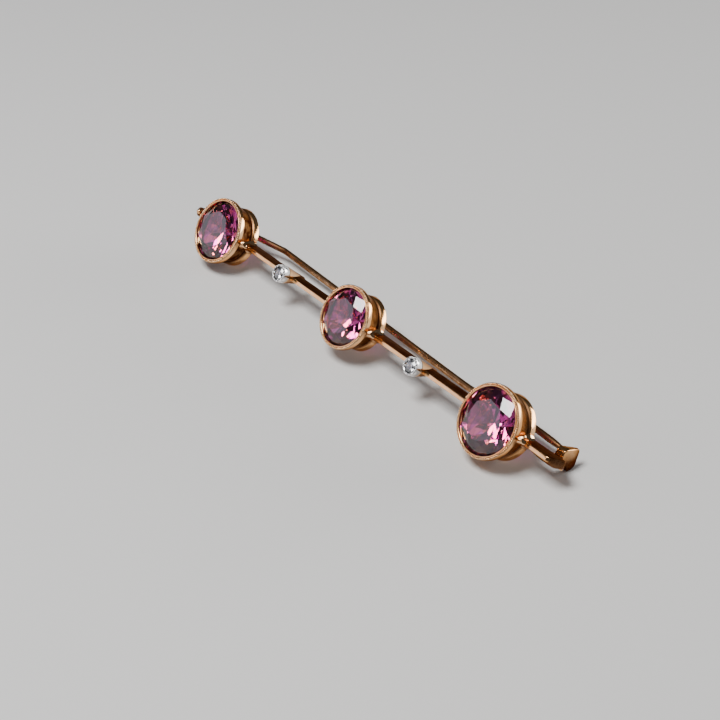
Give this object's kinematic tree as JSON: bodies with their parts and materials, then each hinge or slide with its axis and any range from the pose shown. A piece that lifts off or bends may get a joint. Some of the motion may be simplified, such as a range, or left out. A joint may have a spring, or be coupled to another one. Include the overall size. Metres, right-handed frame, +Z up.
{
  "type": "bar brooch",
  "caption": "Knife-edge gold bar brooch with large round faceted pink stones in milgrained collets, small brilliants between them, a hooded catch and a swivelling pin.",
  "frame": {"origin": "on the surface that the brooch lies on, under the middle of its bounding box", "axes": "+X along the bar from the pin's pivot to the catch, +Z up from the surface, -Y the side that the stones look to; the brooch leans back 35 degrees on its collets and its catch"},
  "size_m": [0.0602, 0.0084, 0.0076],
  "materials": {
    "gold": "worn polish",
    "pink_stone": "polished, faceted",
    "white_metal": "polished",
    "diamond": "polished, faceted"
  },
  "bodies": {
    "brooch": {"gold_frame": "gold", "stone_left": "pink_stone", "stone_middle": "pink_stone", "stone_right": "pink_stone", "diamond_collet_left": "white_metal", "diamond_collet_right": "white_metal", "diamond_left": "diamond", "diamond_right": "diamond"},
    "swinging_pin": {"pin": "gold"}
  },
  "joints": [
    {"name": "pin_swing", "type": "hinge", "parent": "brooch", "child": "swinging_pin", "pos_m": [-0.02956, -0.00004, 0.00343], "axis": [0, -0.8156, 0.5786], "range_deg": [-110, 0]}
  ]
}
